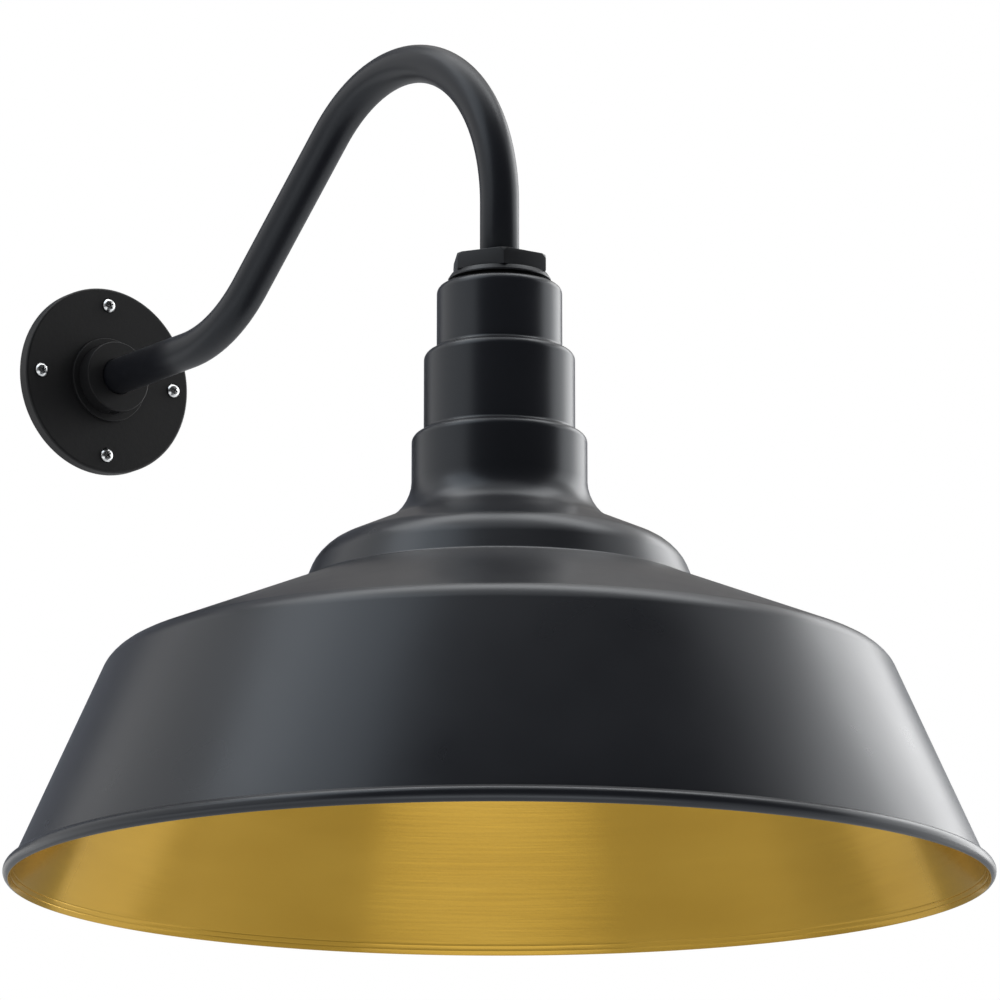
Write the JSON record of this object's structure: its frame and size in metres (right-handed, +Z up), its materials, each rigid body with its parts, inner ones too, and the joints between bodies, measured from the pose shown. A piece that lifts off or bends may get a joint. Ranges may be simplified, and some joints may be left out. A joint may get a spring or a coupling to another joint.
{
  "type": "gooseneck wall light",
  "caption": "Outdoor barn-style wall light: spun metal shade with stepped neck, hung from a bent pipe arm on a round wall plate, with a lampholder inside.",
  "frame": {"origin": "centre of the wall plate's back face, on the wall and on the axis of the four wall screws", "axes": "+Z up; +Y into the wall, so the light stands out along -Y; +X to the right of someone who faces the wall"},
  "size_m": [0.5079, 0.6661, 0.47],
  "materials": {
    "shade_steel": "satin black powder coat outside, brushed gold lining inside",
    "black_coat": "satin black powder coat",
    "black_casting": "satin black powder coat on a casting",
    "black_fittings": "satin black powder coat",
    "gasket_rubber": "matt",
    "stainless_screws": "bright stainless",
    "dark_fixings": "black oxide",
    "green_screw": "green dyed zinc",
    "zinc_fixings": "zinc plate",
    "zinc_cap": "zinc plate",
    "white_nylon": "natural nylon",
    "porcelain": "white glaze",
    "shell_brass": "bright drawn brass",
    "contact_brass": "plain brass",
    "spring_steel": "bright spring wire",
    "nickel_strap": "nickel plate",
    "black_insulation": "matt",
    "white_insulation": "matt"
  },
  "bodies": {
    "wall_side": {"wall_gasket": "gasket_rubber", "back_plate": "black_casting", "plate_screws": "stainless_screws", "hub_set_screw": "dark_fixings", "ground_screw": "green_screw"},
    "arm": {"gooseneck_arm": "black_coat", "hex_nut": "black_fittings", "bevelled_washer": "black_fittings", "neck_gasket": "gasket_rubber", "lock_washer": "zinc_fixings", "inner_locknut": "zinc_fixings", "socket_cap": "zinc_cap", "cap_set_screw": "zinc_fixings", "wire_bushing": "white_nylon", "lampholder_body": "porcelain", "screw_shell": "shell_brass", "contact_spring": "spring_steel", "line_strap": "contact_brass", "neutral_strap": "nickel_strap", "terminal_screws": "contact_brass", "socket_screws": "zinc_fixings", "line_lead": "black_insulation", "neutral_lead": "white_insulation"},
    "shade": {"shade_skirt": "shade_steel", "shade_dome": "shade_steel", "shade_neck": "shade_steel"},
    "contact": {"centre_contact": "contact_brass"}
  },
  "joints": [
    {"name": "arm_levelling", "type": "hinge", "parent": "wall_side", "child": "arm", "pos_m": [0, 0, 0], "axis": [0, 1, 0], "range_deg": [-90, 90]},
    {"name": "shade_turning", "type": "hinge", "parent": "arm", "child": "shade", "pos_m": [0, -0.4, 0], "axis": [0, 0, 1], "continuous": true},
    {"name": "contact_press", "type": "slide", "parent": "arm", "child": "contact", "axis": [0, 0, 1], "range_m": [0, 0.0015], "stiffness_N_per_m": 600, "springref_m": -0.001, "deforming": ["contact_spring"]}
  ]
}
